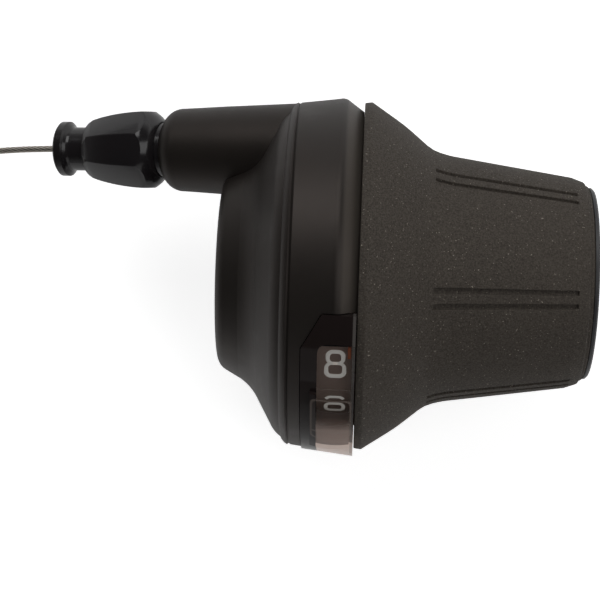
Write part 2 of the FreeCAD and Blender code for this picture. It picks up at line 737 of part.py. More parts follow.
def makeWindow():
    start = windowStart + lensGap
    maskOuter = housingRadius - lensWall
    middle = windowMiddle
    sweep = windowSweep - 0.5
    mask = newBody("display_mask")
    turned(mask, "Frame", [
        (start, maskOuter - 0.9), (housingEnd - 1.3, maskOuter - 0.9),
        (housingEnd - 1.3, maskOuter), (start, maskOuter)], middle=middle, sweep=sweep)
    turned(mask, "Opening", [
        (windowEdge, maskOuter - 3), (housingEnd + 1, maskOuter - 3), (housingEnd + 1, maskOuter + 2),
        (windowEdge, maskOuter + 2)], cut=True,
        middle=(windowClearTop + windowBottom) / 2 + 3, sweep=windowBottom - windowClearTop + 6)
    corner = cornerSketch(mask, "MaskCornerOutline", -0.3, False)
    extruded(mask, "MaskCorner", corner, 100, cut=True, reverse=True)

    lens = newBody("display_lens")
    turned(lens, "Pane", [
        (start, maskOuter + 0.02), (housingEnd - 0.1, maskOuter + 0.02),
        (housingEnd - 0.1, housingRadius + 0.75), (start, housingRadius - 0.25)],
        middle=middle, sweep=sweep)
    turned(lens, "Magnifier", [
        (windowEdge - 1, maskOuter + 0.6), (housingEnd - 0.7, maskOuter + 0.6),
        (housingEnd - 0.7, housingRadius + 1.05, 14, 1), (windowEdge - 1, housingRadius + 0.7)],
        middle=53, sweep=28)
    corner = cornerSketch(lens, "LensCornerOutline", -0.15, False)
    extruded(lens, "LensCorner", corner, 100, cut=True, reverse=True)
    lensHole = sketchOn(lens, "LensScrewHoleOutline", "XY_Plane",
                        Placement(Vector(), axisTurn(lensScrewAngle)))
    drawCircle(lensHole, lensScrewAlong, 0, 0.95)
    extruded(lens, "LensScrewHole", lensHole, 60, cut=True, reverse=True)
    hole = sketchOn(mask, "MaskScrewHoleOutline", "XY_Plane",
                    Placement(Vector(), axisTurn(lensScrewAngle)))
    drawCircle(hole, lensScrewAlong, 0, 0.95)
    extruded(mask, "MaskScrewHole", hole, 60, cut=True, reverse=True)

    screw = newBody("lens_screw")
    seat = housingRadius + 0.1
    turned(screw, "Screw", [
        (maskOuter - 0.9, 0), (maskOuter - 0.9, 0.9), (seat, 0.9), (seat, 1.6),
        (seat + 0.3, 1.75), (seat + 0.8, 1.3), (seat + 0.8, 0)])
    cutHexSocket(screw, seat + 0.8, 0.5, 0.5)
    screw.Placement = Placement(Vector(lensScrewAlong.value, 0, 0),
                                axisTurn(lensScrewAngle).multiply(Rotation(Vector(0, 1, 0), -90)))
    screw.setExpression(".Placement.Base.x", lensScrewAlong.text)

    pointer = newBody("gear_pointer")
    turned(pointer, "Pointer", [
        (housingEnd - 1.25, maskOuter - 0.9), (housingEnd - 0.75, maskOuter - 0.9),
        (housingEnd - 0.75, maskOuter), (housingEnd - 1.25, maskOuter)],
        middle=windowClearTop + 2.2, sweep=4.2)


# ---- inboard cover with the cable port -------------------------------------------------------

def portOutline():
    """Outside of the port, along its own axis: mouth, shoulder and slowly widening body."""
    return [(0 - seamPlace - 1, 0), (portMouth, 0), (portMouth, portRadius - 2.05),
            (portMouth - 0.5, portRadius - 1.25, 3.2, 1), (portMouth - 3.2, portRadius),
            (0, portRadius + 0.4), (0 - seamPlace - 1, portRadius + 1)]


screwSeat = seamPlace - 3.2


def makeCover():
    body = newBody("inboard_cover")
    bore = tubeOuter + 0.03
    turned(body, "Dome", [
        (0, bore), (0, footRadius - 2.65, 2.6, -1), (footPlace, footRadius),
        (footPlace + 2.6, footRadius + 1.45, 9.2, 1), (flangeStart + 0.1, flangeRadius + 1.2),
        (seamPlace - 3.2, seamRadius - 3.3, 5, -1), (seamPlace - 1.4, seamRadius - 1.25, 2.2, -1),
        (seamPlace - 0.3, seamRadius), (seamPlace, seamRadius - 0.25), (seamPlace, bore)])
    turned(body, "Port", portOutline(), offset=portSketchFrame())
    turned(body, "Trim", [(seamPlace, 0), (seamPlace + 12, 0), (seamPlace + 12, 50),
                          (seamPlace, 50)], cut=True)
    turned(body, "BracketBore", [(-6, 0), (seamPlace + 1, 0), (seamPlace + 1, bore), (-6, bore)],
           cut=True)
    turned(body, "Cavity", [
        (faceWall, bore - 1), (faceWall, bandOuter + 0.25), (flangeStart - 0.05, bandOuter + 0.25),
        (flangeStart - 0.05, flangeRadius + 0.05), (flangeStart + flangeWall, flangeRadius + 0.05),
        (flangeStart + flangeWall + 0.2, 22), (seamPlace - 2.3, ringBore - 1.6),
        (seamPlace - 1, ringBore), (seamPlace + 1, ringBore), (seamPlace + 1, bore - 1)], cut=True)
    for number, angle in enumerate(coverScrewAngles):
        spot = atAngle(coverScrewPlace, angle)
        boss = sketchOn(body, "BossOutline%d" % number, "YZ_Plane", facing(seamPlace))
        drawCircle(boss, *spot, 2.9)
        extruded(body, "Boss%d" % number, boss, 3.4, reverse=True)
        recess = sketchOn(body, "RecessOutline%d" % number, "YZ_Plane", facing(screwSeat))
        drawCircle(recess, *spot, coverScrewRadius + 1.2)
        extruded(body, "Recess%d" % number, recess, 12, cut=True)
        hole = sketchOn(body, "ShankHoleOutline%d" % number, "YZ_Plane", facing(seamPlace + 1))
        drawCircle(hole, *spot, coverScrewRadius + 0.05)
        extruded(body, "ShankHole%d" % number, hole, 8, cut=True)
    turned(body, "PortBore", [
        (0 - seamPlace - 2, 0), (portMouth + 1, 0), (portMouth + 1, portBore),
        (0 - flangeStart + 0.5, portBore), (0 - flangeStart - 1, portBore + 1.2),
        (0 - seamPlace - 2, portBore + 1.2)], cut=True, offset=portSketchFrame())
    notch = sketchOn(body, "ClampNotchOutline", "YZ_Plane", facing(flangeStart - 0.05))
    halfWidth = slitWidth / 2 + earWall + clampBoltRadius * 2 + 1.2
    drawOutline(notch, [(0 - halfWidth, 0 - earReach - 12), (halfWidth, 0 - earReach - 12),
                        (halfWidth, 0 - clampBoltDrop + 3.9), (0 - halfWidth, 0 - clampBoltDrop + 3.9)])
    extruded(body, "ClampNotch", notch, flangeStart - 0.05 - faceWall, cut=True)


def makeCoverScrews():
    screws = []
    for number, angle in enumerate(coverScrewAngles):
        body = doc.addObject("PartDesign::Body", "CoverScrew%d" % number)
        turned(body, "CoverScrewShape%d" % number, [
            (0 - 1.4, 0), (5.4, 0), (5.4, coverScrewRadius), (0, coverScrewRadius),
            (0, coverScrewRadius + 0.95), (0 - 1.0, coverScrewRadius + 0.95),
            (0 - 1.4, coverScrewRadius + 0.55)])
        cutHexSocket(body, asSize(-1.4), 0.75, 0.9)
        spot = aroundBar(screwSeat.value, coverScrewPlace.value, angle)
        body.Placement = Placement(spot, Rotation())
        body.setExpression(".Placement.Base.x", screwSeat.text)
        screws.append(body)
    group = doc.addObject("Part::Compound", "cover_screws")
    group.Label = "cover_screws"
    group.Links = screws
    nodes["cover_screws"] = group


# ---- cable adjuster ----------------------------------------------------------------------------

def makeAdjuster():
    knob = newBody("adjuster_barrel")
    collarGap = collarRadius + 0.06
    bead = collarRadius + 0.25
    turned(knob, "Knob", [
        (knobStart, collarGap), (knobStart, knobRadius - 1.1, 2.0, -1),
        (knobStart + 1.6, knobRadius, 62, -1), (knobEnd - 1.4, neckRadius + 1.0, 2.2, -1),
        (knobEnd, neckRadius + 0.25), (knobEnd, neckRadius + runGap),
        (knobStart + 1.9, neckRadius + runGap), (knobStart + 1.9, bead + 0.1),
        (knobStart + 0.5, bead + 0.1), (knobStart + 0.5, collarGap)])
    placeOnPort(knob)

    seat = newBody("adjuster_seat")
    turned(seat, "Collar", [
        (seatStart, shankRadius + 0.08), (knobStart + 1.6, shankRadius + 0.08), (knobStart + 1.6, bead),
        (knobStart + 0.7, bead), (knobStart + 0.7, collarRadius), (portMouth, collarRadius),
        (portMouth, portBore - 0.04), (seatStart, portBore - 0.04)])
    addKeyFlat(seat, shankRadius - 0.5, seatStart, knobStart + 1.6)
    placeOnPort(seat)

    screw = newBody("adjuster_screw")
    shoulder = knobEnd - 6.2
    turned(screw, "Screw", [
        (screwStart, screwBore), (adjusterEnd - 6, screwBore), (adjusterEnd - 6, socketRadius),
        (adjusterEnd, socketRadius), (adjusterEnd, collarRadius - 0.3),
        (adjusterEnd - 0.3, collarRadius + 0.05), (adjusterEnd - 1.5, collarRadius + 0.05),
        (adjusterEnd - 1.8, collarRadius - 0.35), (adjusterEnd - 2.2, neckRadius + 0.15),
        (adjusterEnd - 2.6, neckRadius), (shoulder, neckRadius), (shoulder, shankRadius),
        (screwStart, shankRadius)])
    flat = sketchOn(screw, "ShankFlatOutline", "XZ_Plane")
    drawOutline(flat, [(screwStart - 1, shankRadius - 0.6), (shoulder - 0.5, shankRadius - 0.6),
                       (shoulder - 0.5, shankRadius + 2), (screwStart - 1, shankRadius + 2)])
    extruded(screw, "ShankFlat", flat, 20, cut=True, both=True)
    placeOnPort(screw)

    springRadius = float(shankRadius + neckRadius) / 2
    springLength = float(shoulder - knobStart - 2.5)
    springPitch = 1.05
    perTurn = 12
    points = []
    for step in range(int(springLength / springPitch * perTurn) + 1):
        angle = 2 * math.pi * step / perTurn
        points.append(Vector(float(knobStart + 2.1) + springPitch * step / perTurn,
                             springRadius * math.cos(angle), springRadius * math.sin(angle)))
    coil = tubeAlong(roundedPath(points, bendRadii(points)), 0.25)
    shaped("adjuster_spring", coil, portPlace)


def addKeyFlat(body, height, start, end):
    """Fills a bore's top so that the flatted shank can slide in it but can't turn."""
    sketch = sketchOn(body, "KeyOutline", "YZ_Plane", facing(start))
    reach = shankRadius + 0.6
    half = 1.9
    drawOutline(sketch, [(0 - half, height), (half, height), (half, reach), (0 - half, reach)])
    extruded(body, "Key", sketch, end - start)


# ---- gear wire, inside and outside -----------------------------------------------------------

def wireCorner():
    """Where the wire's line off the spool meets the port's axis."""
    return portPoint(-trackPlace.value / math.cos(math.radians(portTilt.value)))


def tangentSpot():
    corner = wireCorner()
    reach = math.hypot(corner.y, corner.z)
    forward = math.degrees(math.atan2(corner.y, corner.z))
    return forward - math.degrees(math.acos(wireTrack.value / reach))


def makeInnerWire():
    spot = aroundBar(trackPlace.value, wireTrack.value, -tangentSpot())
    path = roundedPath([spot, wireCorner(), portPoint(adjusterEnd)], [guideBend.value])
    shaped("inner_wire", tubeAlong(path, wireRadius.value))

    nippleAngle = math.degrees(math.atan2(nippleLength.value / 2, wireTrack.value)) + 0.2
    ends = [aroundBar(trackPlace.value, wireTrack.value, -a)
            for a in (nippleAngle, (nippleAngle + tangentSpot()) / 2, tangentSpot())]
    shaped("wire_on_spool", tubeAlong([Part.Arc(*ends).toShape()], wireRadius.value))


def makeWireGuide():
    """Grooved shoe on the inside of the wire's bend, standing on the bracket's flange."""
    corner = wireCorner()
    spot = aroundBar(trackPlace.value, wireTrack.value, -tangentSpot())
    before = (spot - corner).normalize()
    after = (portPoint(adjusterEnd) - corner).normalize()
    half = math.acos(-before.dot(after)) / 2
    centre = corner + (before + after).normalize() * (guideBend.value / math.cos(half))
    axis = before.cross(after).normalize()
    bend = guideBend.value
    halfWidth = wireRadius.value + 0.5
    shoe = Part.makeCylinder(bend + 0.25, 2 * halfWidth, centre - axis * halfWidth, axis)
    core = Part.makeCylinder(bend - 2.3, 2 * halfWidth, centre - axis * halfWidth, axis)
    groove = Part.makeTorus(bend, wireRadius.value + 0.04, centre, axis)
    slot = Part.makeCylinder(bend + 1, 2 * wireRadius.value + 0.08,
                             centre - axis * (wireRadius.value + 0.04), axis)
    slot = slot.cut(Part.makeCylinder(bend, 2 * wireRadius.value + 0.08,
                                      centre - axis * (wireRadius.value + 0.04), axis))
    wedge = Part.makePolygon([centre, centre + (corner - centre) * 0.02
                              + (spot - corner) * 3, corner + (corner - centre) * 3,
                              centre + (portPoint(adjusterEnd) - corner) * 3, centre])
    keep = Part.Face(wedge).extrude(axis * 12)
    keep.translate(axis * -6)
    shoe = shoe.cut(core).cut(groove).cut(slot).common(keep)
    flangeFace = flangeStart.value + flangeWall.value
    beyond = Part.makeBox(40, 80, 80, Vector(flangeFace - 40, -40, -40))
    reel = Part.makeCylinder(spoolRim.value + sideGap.value, 40,
                             Vector(flangeFace, 0, 0), Vector(1, 0, 0))
    shoe = shoe.cut(beyond).cut(reel)
    solids = sorted(shoe.Solids, key=lambda solid: solid.Volume)
    shaped("wire_guide", solids[-1])


# The free wire leaves the adjuster, comes down to the surface and runs into its coil.
coilMiddle = 10.0                      # middle radius of the put-away coil
coilSection = 3.5                      # radius of the bundle of turns
coilCentre = Vector(-69.2, 9.5, -26.1)

# points of the free wire, chosen by hand after the adjuster's end
wireRoute = [portPoint(adjusterEnd), Vector(-35.2, 20.5, -9.7), Vector(-41.6, 20.2, -12.6),
             Vector(-48.2, 19.8, -17.2), Vector(-54.6, 19.5, -22.0), Vector(-61.4, 19.4, -25.2),
             Vector(-68.2, 19.5, -26.1)]


def makeFreeWire():
    path = roundedPath(wireRoute, bendRadii(wireRoute))
    solid = tubeAlong(path, wireRadius.value)
    length = sum(edge.Length for edge in path)
    section = math.pi * wireRadius.value ** 2
    print("wire volume over section times length: %.4f" % (solid.Volume / (section * length)))
    shaped("gear_wire", solid)

    coil = newBody("gear_wire_coil")
    sketch = sketchOn(coil, "BundleOutline", "XZ_Plane")
    drawCircle(sketch, coilMiddle, 0, coilSection)
    ring = coil.newObject("PartDesign::Revolution", "Bundle")
    ring.Profile = sketch
    ring.ReferenceAxis = (sketch, ["V_Axis"])
    ring.Angle = 360
    coil.Tip = ring
    coil.Placement = Placement(coilCentre, Rotation())

    tie = newBody("coil_tie")
    outer = drawOutline(sketchOn(tie, "TieOutline", "XZ_Plane"), [
        (coilMiddle - coilSection - 0.6, -coilSection),
        (coilMiddle + coilSection + 0.6, -coilSection),
        (coilMiddle + coilSection + 0.6, coilSection + 0.6),
        (coilMiddle - coilSection - 0.6, coilSection + 0.6)])
    extruded(tie, "TieBlock", outer, 3, both=True)
    inner = drawOutline(sketchOn(tie, "TieBoreOutline", "XZ_Plane"), [
        (coilMiddle - coilSection - 0.15, -coilSection - 1),
        (coilMiddle + coilSection + 0.15, -coilSection - 1),
        (coilMiddle + coilSection + 0.15, coilSection + 0.15),
        (coilMiddle - coilSection - 0.15, coilSection + 0.15)])
    extruded(tie, "TieBore", inner, 6, cut=True, both=True)
    tie.Placement = Placement(coilCentre, Rotation(Vector(0, 0, 1), -120))

    cap = newBody("wire_end_cap")
    turned(cap, "Cap", [(0, 0), (7.6, 0), (7.9, 0.5), (7.4, 0.95), (0.3, 0.95), (0, 0.8)])
    cap.Placement = Placement(Vector(coilCentre.x - 3, coilCentre.y - coilMiddle - 0.5,
                                     coilCentre.z + coilSection + 1.0), Rotation())


# ---- build, check and write ----------------------------------------------------------------------

makeBracketTube()
makeClamp()
makeSpool()
makeDetent()
makeDrum()
makeGripTube()
makeGripRubber()
makeRing()
makeWindow()
makeCover()
makeCoverScrews()
makeAdjuster()
makeInnerWire()
makeWireGuide()
makeFreeWire()
doc.recompute()

faults = []
for thing in doc.Objects:
    if "Invalid" in thing.State or "Error" in thing.State:
        faults.append("%s is %s" % (thing.Label, thing.State))
for label, thing in nodes.items():
    if thing.Shape.isNull() or not thing.Shape.isValid():
        faults.append(label + " has no valid shape")
if faults:
    raise RuntimeError("; ".join(faults))

os.makedirs("parts", exist_ok=True)
for label, thing in sorted(nodes.items()):
    thing.Shape.exportStep("parts/%s.step" % label)
    box = thing.Shape.BoundBox
    print("%-18s %8.1f mm3  %d solid(s)  x %.1f..%.1f y %.1f..%.1f z %.1f..%.1f" % (
        label, thing.Shape.Volume, len(thing.Shape.Solids), box.XMin, box.XMax,
        box.YMin, box.YMax, box.ZMin, box.ZMax))
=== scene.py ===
import math

import bmesh
import bpy
from mathutils import Matrix, Vector


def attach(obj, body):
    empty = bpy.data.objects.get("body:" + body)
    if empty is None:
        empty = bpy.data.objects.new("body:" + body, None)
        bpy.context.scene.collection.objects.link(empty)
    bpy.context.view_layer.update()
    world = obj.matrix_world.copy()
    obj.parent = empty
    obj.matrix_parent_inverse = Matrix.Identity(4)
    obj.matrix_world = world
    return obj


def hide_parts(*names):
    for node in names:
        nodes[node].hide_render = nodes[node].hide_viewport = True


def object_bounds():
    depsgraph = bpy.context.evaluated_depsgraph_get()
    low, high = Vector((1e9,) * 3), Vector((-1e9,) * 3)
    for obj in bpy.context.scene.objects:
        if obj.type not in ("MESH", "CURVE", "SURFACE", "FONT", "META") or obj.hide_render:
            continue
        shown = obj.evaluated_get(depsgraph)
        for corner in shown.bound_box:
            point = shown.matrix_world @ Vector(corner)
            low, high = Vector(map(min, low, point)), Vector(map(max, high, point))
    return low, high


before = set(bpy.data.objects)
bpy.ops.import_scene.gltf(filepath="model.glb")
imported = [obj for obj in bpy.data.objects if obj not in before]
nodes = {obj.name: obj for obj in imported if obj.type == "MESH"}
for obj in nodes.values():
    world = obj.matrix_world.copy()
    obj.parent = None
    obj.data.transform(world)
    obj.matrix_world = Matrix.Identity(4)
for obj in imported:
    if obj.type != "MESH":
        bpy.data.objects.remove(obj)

# A twist-grip shifter for a hub gear, looked at from above. X runs along the handlebar
# towards the hand, Y forwards and Z up, in metres.
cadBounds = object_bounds()
floorHeight = cadBounds[0].z
scene = bpy.context.scene


# ---- camera, floor and light

viewPlan = {
    "over": (0.0243, -0.0041),     # the place the camera stands over
    "height": 0.321,
    "lens": 113.0,
    "lean": 1.93,                  # degrees, towards the cable side
    "roll": 2.0,
}


def makeCamera():
    plan = viewPlan
    data = bpy.data.cameras.new("camera")
    data.lens = plan["lens"]
    data.clip_start = 0.01
    camera = bpy.data.objects.new("camera", data)
    scene.collection.objects.link(camera)
    turn = Matrix.Rotation(math.radians(plan["roll"]), 4, "Z")
    lean = Matrix.Rotation(math.radians(plan["lean"]), 4, "Y")
    place = Matrix.Translation((plan["over"][0], plan["over"][1], plan["height"]))
    camera.matrix_world = place @ turn @ lean
    scene.camera = camera


makeCamera()
print("camera set")


# ---- small tools for shader nodes

class Wire:
    # one output socket, or a Python number's partner in a sum: operators add Math nodes
    def __init__(self, finish, socket):
        self.finish = finish
        self.socket = socket

    def calc(self, operation, *values):
        return self.finish.add("ShaderNodeMath", {"operation": operation},
                               dict(enumerate((self,) + values)))

    def __add__(self, other):
        return self.calc("ADD", other)

    def __sub__(self, other):
        return self.calc("SUBTRACT", other)

    def __mul__(self, other):
        return self.calc("MULTIPLY", other)

    def __rsub__(self, other):
        return self.finish.add("ShaderNodeMath", {"operation": "SUBTRACT"}, {0: other, 1: self})

    def __neg__(self):
        return self * -1.0

    __radd__ = __add__
    __rmul__ = __mul__

    def ramp(self, low, high, start=0.0, end=1.0):
        # start below low, end above high, smooth between
        return self.finish.add(
            "ShaderNodeMapRange", {"interpolation_type": "SMOOTHSTEP"},
            {"Value": self, "From Min": low, "From Max": high, "To Min": start, "To Max": end})


class Finish:
    # one material, built round its Principled shader
    def __init__(self, name, **constants):
        self.material = bpy.data.materials.new(name)
        self.material.use_nodes = True
        self.tree = self.material.node_tree
        self.shader = self.tree.nodes["Principled BSDF"]
        self.place = self.add("ShaderNodeTexCoord", {}, {}, "Object")
        self.set(**constants)

    def add(self, kind, settings, values, output=0):
        node = self.tree.nodes.new(kind)
        for key, value in settings.items():
            setattr(node, key, value)
        for key, value in values.items():
            if isinstance(value, Wire):
                self.tree.links.new(value.socket, node.inputs[key])
            elif isinstance(value, tuple) and len(value) == 3 and node.inputs[key].type == "RGBA":
                node.inputs[key].default_value = (*value, 1.0)
            else:
                node.inputs[key].default_value = value
        return Wire(self, node.outputs[output])

    def set(self, **values):
        # Base_Color stands for the socket "Base Color", and so on
        for key, value in values.items():
            socket = self.shader.inputs[key.replace("_", " ")]
            if isinstance(value, Wire):
                self.tree.links.new(value.socket, socket)
            elif isinstance(value, tuple) and len(value) == 3 and socket.type == "RGBA":
                socket.default_value = (*value, 1.0)
            else:
                socket.default_value = value

    def parts(self, vector):
        node = self.tree.nodes.new("ShaderNodeSeparateXYZ")
        self.tree.links.new(vector.socket, node.inputs[0])
        return [Wire(self, socket) for socket in node.outputs]

    def noise(self, size, detail=2.0, roughness=0.5, vector=None):
        # size is the width of a blotch in metres
        return self.add("ShaderNodeTexNoise", {}, {
            "Vector": vector or self.place, "Scale": 1.0 / size, "Detail": detail,
            "Roughness": roughness})

    def mix(self, amount, first, second):
        return self.add("ShaderNodeMix", {"data_type": "RGBA"},
                        {"Factor": amount, 6: first, 7: second}, 2)

    def bump(self, height, depth):
        # height is a number field from 0 to 1, depth its size in metres
        return self.add("ShaderNodeBump", {},
                        {"Height": height, "Distance": depth, "Strength": 1.0})


def coat(name, finish):
    # gives a CAD node its material
    slots = nodes[name].data.materials
    slots.clear()
    slots.append(finish.material)


# ---- small tools for modelling

def rest():
    # leaves edit mode with nothing selected
    if bpy.context.object and bpy.context.object.mode == "EDIT":
        bpy.ops.object.mode_set(mode="OBJECT")
    bpy.ops.object.select_all(action="DESELECT")


def edit(piece):
    rest()
    bpy.context.view_layer.objects.active = piece
    piece.select_set(True)
    bpy.ops.object.mode_set(mode="EDIT")
    bpy.ops.mesh.select_mode(type="VERT")


def pick(kind, test):
    # selects the faces, edges or vertices of the piece in edit mode that pass a test
    modes = {"verts": "VERT", "edges": "EDGE", "faces": "FACE"}
    bpy.ops.mesh.select_mode(type=modes[kind])
    bpy.ops.mesh.select_all(action="DESELECT")
    work = bmesh.from_edit_mesh(bpy.context.object.data)
    for element in getattr(work, kind):
        if test(element):
            element.select_set(True)
    work.select_flush_mode()
    bmesh.update_edit_mesh(bpy.context.object.data)


def drawLine(name, points):
    # a chain of edges drawn by extruding one point: (along, radius) in millimetres
    places = [Vector((x, 0, r)) / 1000 for x, r in points]
    rest()
    bpy.ops.mesh.primitive_plane_add(size=0.001, location=(0, 0, 0))
    piece = bpy.context.object
    piece.name = name
    edit(piece)
    bpy.ops.mesh.select_all(action="SELECT")
    bpy.ops.mesh.merge(type="CENTER")
    bpy.ops.transform.translate(value=places[0])
    for start, end in zip(places, places[1:]):
        bpy.ops.mesh.extrude_region_move(TRANSFORM_OT_translate={"value": end - start})
    return piece


def bendCorners(points, degreesPerStep=14):
    # points are (x, r) or (x, r, bend): a bend rounds that corner with an arc of its radius
    done = []
    count = len(points)
    for number, point in enumerate(points):
        here = Vector(point[:2])
        if len(point) < 3 or number in (0, count - 1):
            done.append(tuple(here))
            continue
        before = (Vector(points[number - 1][:2]) - here).normalized()
        after = (Vector(points[number + 1][:2]) - here).normalized()
        half = before.angle(after) / 2
        reach = point[2] / math.tan(half)
        centre = here + (before + after).normalized() * point[2] / math.sin(half)
        start, end = here + before * reach - centre, here + after * reach - centre
        turn = math.pi - 2 * half
        side = 1 if start.x * end.y - start.y * end.x > 0 else -1
        steps = max(2, int(math.ceil(math.degrees(turn) / degreesPerStep)))
        for step in range(steps + 1):
            angle = side * turn * step / steps
            swung = Vector((start.x * math.cos(angle) - start.y * math.sin(angle),
                            start.x * math.sin(angle) + start.y * math.cos(angle)))
            done.append(tuple(centre + swung))
    return done


def spinShut(piece, turns):
    # turns lists (degrees, steps) in a row, all round the X axis; closes the seam afterwards
    edit(piece)
    bpy.ops.mesh.select_all(action="SELECT")
    for degrees, steps in turns:
        bpy.ops.mesh.spin(steps=steps, angle=math.radians(degrees), center=(0, 0, 0),
                          axis=(1, 0, 0))
    bpy.ops.mesh.select_all(action="SELECT")
    bpy.ops.mesh.remove_doubles(threshold=1e-6)
    bpy.ops.mesh.normals_make_consistent(inside=False)


def smooth(piece, degrees=35):
    rest()
    bpy.context.view_layer.objects.active = piece
    piece.select_set(True)
    bpy.ops.object.shade_smooth_by_angle(angle=math.radians(degrees))


def softenEdges(piece, width, degrees):
    # bevels edges that are sharper than the given angle
    bevel = piece.modifiers.new("soft", "BEVEL")
    bevel.width = width
    bevel.segments = 2
    bevel.limit_method = "ANGLE"
    bevel.angle_limit = math.radians(degrees)
    bpy.context.view_layer.objects.active = piece
    bpy.ops.object.modifier_apply(modifier="soft")


def place(piece, matrix):
    # moves a piece and keeps its object at the origin
    rest()
    bpy.context.view_layer.objects.active = piece
    piece.select_set(True)
    piece.matrix_world = matrix
    bpy.ops.object.transform_apply(location=True, rotation=True, scale=True)


def dress(piece, finish, slot, body, *replaced):
    piece.data.materials.clear()
    piece.data.materials.append(finish.material)
    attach(piece, body)
    if replaced:
        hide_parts(*replaced)


# ---- gear wire: a thin stranded wire with its spare length in a tied coil

wirePlan = {
    "diameter": 0.0011,
    "exit": (-0.02936, 0.0206, -0.00805),
    "route": [(-0.02936, 0.0206, -0.00805), (-0.0352, 0.0205, -0.0097),
              (-0.0416, 0.0202, -0.0126), (-0.0482, 0.0198, -0.0172),
              (-0.0546, 0.0195, -0.0220), (-0.0614, 0.0194, -0.0252),
              (-0.0682, 0.0195, -0.0261)],
    "coilCentre": (-0.0692, 0.0095, -0.0261),
    "coilRadius": 0.01,
    "turns": 28,
    "spacing": 0.00112,            # between the middles of neighbouring turns
    "strands": 8,
    "lay": 0.009,                  # length in which a strand goes once round
    "step": 0.0006,                # length of wire between rings, about
    "pointsPerTurn": 16,
    "firstTurn": 0.75,             # part of the first turn that the route already makes
    "coilFit": 1.01,               # makes up for the corners that the smooth curve cuts
    "bundleRings": 3,
    "cornersPerStrand": 4,
    "valley": 0.93,                # radius between strands and the rise to their crests,
    "crestRise": 0.10,             # both as shares of the wire's radius
    # the end climbs over the tie and goes into its cap: millimetres from the coil's centre
    "tail": [(-9.5, -2.6, 3.2), (-8.4, -5.2, 4.1), (-7.0, -7.9, 4.8), (-5.6, -9.8, 4.9),
             (-4.0, -10.4, 4.6), (-2.4, -10.5, 4.5), (-1.0, -10.5, 4.5)],
}


def bundleSites(spacing, last):
    # places of the turns in the bundle's section, from its middle outwards
    sites = [Vector((0, 0))]
    for ring in range(1, last + 1):
        spot = Vector((ring * spacing, 0))
        around = []
        for side in range(6):
            way = math.radians(120 + 60 * side)
            for step in range(ring):
                if ring < last or step > 0:      # the outermost corners stick out of the bundle
                    around.append(spot.copy())
                spot += spacing * Vector((math.cos(way), math.sin(way)))
        sites += around if ring < last else around[::-1]
    return sites


def wirePoints():
    plan = wirePlan
    centre = Vector(plan["coilCentre"])
    sites = bundleSites(plan["spacing"], plan["bundleRings"])
    points = [Vector(p) for p in plan["route"]]
    perTurn = plan["pointsPerTurn"]
    for step in range(1, int((plan["turns"] - plan["firstTurn"]) * perTurn) + 1):
        turn, share = divmod(step / perTurn, 1.0)
        site = sites[int(turn)].lerp(sites[int(turn) + 1], share)
        angle = math.pi / 2 + 2 * math.pi * step / perTurn
        radius = plan["coilRadius"] * plan["coilFit"] + site.x
        points.append(centre + Vector((radius * math.cos(angle), radius * math.sin(angle),
                                       site.y)))
    points += [centre + Vector(spot) / 1000 for spot in plan["tail"]]
    return points


def makeWire():
    plan = wirePlan
    route = bpy.data.curves.new("wireRoute", "CURVE")
    route.dimensions = "3D"
    spline = route.splines.new("NURBS")
    points = wirePoints()
    spline.points.add(len(points) - 1)
    for spot, point in zip(spline.points, points):
        spot.co = (*point, 1.0)
    spline.order_u = 3
    spline.use_endpoint_u = True
    route.resolution_u = 4
    guide = bpy.data.objects.new("wireRoute", route)
    scene.collection.objects.link(guide)
    line = bpy.data.meshes.new_from_object(guide)
    curve = [v.co.copy() for v in line.vertices]
    bpy.data.objects.remove(guide)
    path = curve[:1]
    for start, end in zip(curve, curve[1:]):
        steps = max(1, round((end - start).length / plan["step"]))
        path += [start.lerp(end, (step + 1) / steps) for step in range(steps)]

    # rings of a lobed section that turns once in each lay
    strands, radius = plan["strands"], plan["diameter"] / 2
    around = strands * plan["cornersPerStrand"]
    vertices, faces, shares = [], [], []
    side = Vector((0, 1, 0))
    run = 0.0
    for number, spot in enumerate(path):
        before = path[max(number - 1, 0)]
        after = path[min(number + 1, len(path) - 1)]
        way = (after - before).normalized()
        side = (side - way * side.dot(way)).normalized()
        rise = way.cross(side)
        if number:
            run += (spot - path[number - 1]).length
        twist = 2 * math.pi * run / plan["lay"]
        for corner in range(around):
            angle = 2 * math.pi * corner / around
            lobe = abs(math.cos(angle * strands / 2))
            out = radius * (plan["valley"] + plan["crestRise"] * lobe)
            turned = angle + twist
            vertices.append(spot + out * (side * math.cos(turned) + rise * math.sin(turned)))
            shares.append(lobe)
    for ring in range(len(path) - 1):
        for corner in range(around):
            here, beside = ring * around + corner, ring * around + (corner + 1) % around
            faces.append((here, beside, beside + around, here + around))
    faces.append(tuple(range(around - 1, -1, -1)))
    last = (len(path) - 1) * around
    faces.append(tuple(range(last, last + around)))
    mesh = bpy.data.meshes.new("gearWire")
    mesh.from_pydata(vertices, [], faces)
    crest = mesh.attributes.new("crest", "FLOAT", "POINT")
    crest.data.foreach_set("value", shares)
    mesh.shade_smooth()
    wire = bpy.data.objects.new("gearWire", mesh)
    scene.collection.objects.link(wire)
    dress(wire, wireSteel, "wire_steel", "bracket", "gear_wire", "gear_wire_coil")


wireSteel = Finish("wireSteel", Metallic=1.0)
crestShare = wireSteel.add("ShaderNodeAttribute", {"attribute_name": "crest"}, {}, "Fac")
wireGrime = wireSteel.noise(0.0012, 3.0)
# the valleys between the strands are painted darker: painted shade between the strands
wireSteel.set(
    Base_Color=wireSteel.mix(crestShare.ramp(0.05, 0.75),
                             (0.14, 0.125, 0.11),
                             wireSteel.mix(wireGrime, (0.46, 0.42, 0.37), (0.62, 0.58, 0.52))),
    Roughness=wireGrime.ramp(0.3, 0.7, 0.42, 0.56))
makeWire()
print("gear wire laid and coiled")


